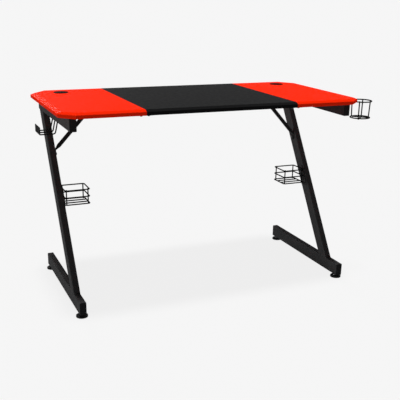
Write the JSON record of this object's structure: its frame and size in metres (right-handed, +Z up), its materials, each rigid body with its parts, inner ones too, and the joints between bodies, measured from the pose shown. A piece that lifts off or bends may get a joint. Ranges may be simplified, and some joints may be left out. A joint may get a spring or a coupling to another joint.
{
  "type": "gaming desk",
  "caption": "Gaming desk with a bevelled red and black panel top on slanted Z-shaped tube frames, with wire cup holder, headphone hook and baskets, cable grommets and levelling feet.",
  "frame": {"origin": "on the floor, under the middle of the desktop", "axes": "+X along the desktop to the user's right, +Y from the user's side to the back, +Z up"},
  "size_m": [1.325, 0.6, 0.7516],
  "materials": {
    "red_board": "satin laminate",
    "black_board": "satin laminate",
    "frame_paint": "satin powder coat",
    "wire_paint": "satin powder coat",
    "black_plastic": "fine grain",
    "pad_plastic": "matt",
    "black_steel": "black oxide",
    "zinc_steel": "zinc plated",
    "dowel_wood": "plain beech"
  },
  "bodies": {
    "desk": {"basket_screws": "black_steel", "beam_end_caps": "black_plastic", "brace_bolts": "black_steel", "brace_nuts": "zinc_steel", "centre_panel": "black_board", "crossbar_bolts": "black_steel", "crossbar_end_plates": "frame_paint", "crossbar_nuts": "zinc_steel", "cup_holder_arms": "wire_paint", "cup_holder_bottom_ring": "wire_paint", "cup_holder_cradle": "wire_paint", "cup_holder_plate": "frame_paint", "cup_holder_screws": "black_steel", "cup_holder_top_ring": "wire_paint", "foot_end_caps": "black_plastic", "front_crossbar": "frame_paint", "hook_plate": "frame_paint", "hook_screws": "black_steel", "hook_tip": "wire_paint", "hook_wires": "wire_paint", "left_basket_floor": "wire_paint", "left_basket_plate": "frame_paint", "left_basket_rings": "wire_paint", "left_basket_uprights": "wire_paint", "left_beam": "frame_paint", "left_brace": "frame_paint", "left_foot": "frame_paint", "left_grommet_ring": "black_plastic", "left_leg": "frame_paint", "left_panel": "red_board", "leveller_nuts": "zinc_steel", "panel_dowels": "dowel_wood", "rear_crossbar": "frame_paint", "right_basket_floor": "wire_paint", "right_basket_plate": "frame_paint", "right_basket_rings": "wire_paint", "right_basket_uprights": "wire_paint", "right_beam": "frame_paint", "right_brace": "frame_paint", "right_foot": "frame_paint", "right_grommet_ring": "black_plastic", "right_leg": "frame_paint", "right_panel": "red_board", "seam_plates": "frame_paint", "seam_screws": "black_steel", "top_tab_screws": "black_steel", "top_tabs": "frame_paint"},
    "left_grommet_cap": {"left_grommet_cap": "black_plastic"},
    "right_grommet_cap": {"right_grommet_cap": "black_plastic"},
    "front_left_pad": {"front_left_pad": "pad_plastic"},
    "front_left_stud": {"front_left_stud": "zinc_steel"},
    "front_right_pad": {"front_right_pad": "pad_plastic"},
    "front_right_stud": {"front_right_stud": "zinc_steel"},
    "rear_left_pad": {"rear_left_pad": "pad_plastic"},
    "rear_left_stud": {"rear_left_stud": "zinc_steel"},
    "rear_right_pad": {"rear_right_pad": "pad_plastic"},
    "rear_right_stud": {"rear_right_stud": "zinc_steel"}
  },
  "joints": [
    {"name": "left_grommet_cap_turn", "type": "hinge", "parent": "desk", "child": "left_grommet_cap", "pos_m": [-0.484, 0.206, 0.75], "axis": [0, 0, 1], "continuous": true},
    {"name": "right_grommet_cap_turn", "type": "hinge", "parent": "desk", "child": "right_grommet_cap", "pos_m": [0.484, 0.206, 0.75], "axis": [0, 0, 1], "continuous": true},
    {"name": "front_left_pad_slide", "type": "slide", "parent": "desk", "child": "front_left_pad", "axis": [0, 0, -1], "range_m": [0, 0.01]},
    {"name": "front_left_stud_turn", "type": "hinge", "parent": "front_left_pad", "child": "front_left_stud", "pos_m": [-0.55, -0.276, 0.008], "axis": [0, 0, -1], "range_deg": [0, 2880]},
    {"name": "front_right_pad_slide", "type": "slide", "parent": "desk", "child": "front_right_pad", "axis": [0, 0, -1], "range_m": [0, 0.01]},
    {"name": "front_right_stud_turn", "type": "hinge", "parent": "front_right_pad", "child": "front_right_stud", "pos_m": [0.55, -0.276, 0.008], "axis": [0, 0, -1], "range_deg": [0, 2880]},
    {"name": "rear_left_pad_slide", "type": "slide", "parent": "desk", "child": "rear_left_pad", "axis": [0, 0, -1], "range_m": [0, 0.01]},
    {"name": "rear_left_stud_turn", "type": "hinge", "parent": "rear_left_pad", "child": "rear_left_stud", "pos_m": [-0.55, 0.238, 0.008], "axis": [0, 0, -1], "range_deg": [0, 2880]},
    {"name": "rear_right_pad_slide", "type": "slide", "parent": "desk", "child": "rear_right_pad", "axis": [0, 0, -1], "range_m": [0, 0.01]},
    {"name": "rear_right_stud_turn", "type": "hinge", "parent": "rear_right_pad", "child": "rear_right_stud", "pos_m": [0.55, 0.238, 0.008], "axis": [0, 0, -1], "range_deg": [0, 2880]}
  ],
  "couplings": [
    {"joint": "front_left_pad_slide", "follows": "front_left_stud_turn", "m_per_rad": 0.00019894},
    {"joint": "front_right_pad_slide", "follows": "front_right_stud_turn", "m_per_rad": 0.00019894},
    {"joint": "rear_left_pad_slide", "follows": "rear_left_stud_turn", "m_per_rad": 0.00019894},
    {"joint": "rear_right_pad_slide", "follows": "rear_right_stud_turn", "m_per_rad": 0.00019894}
  ]
}
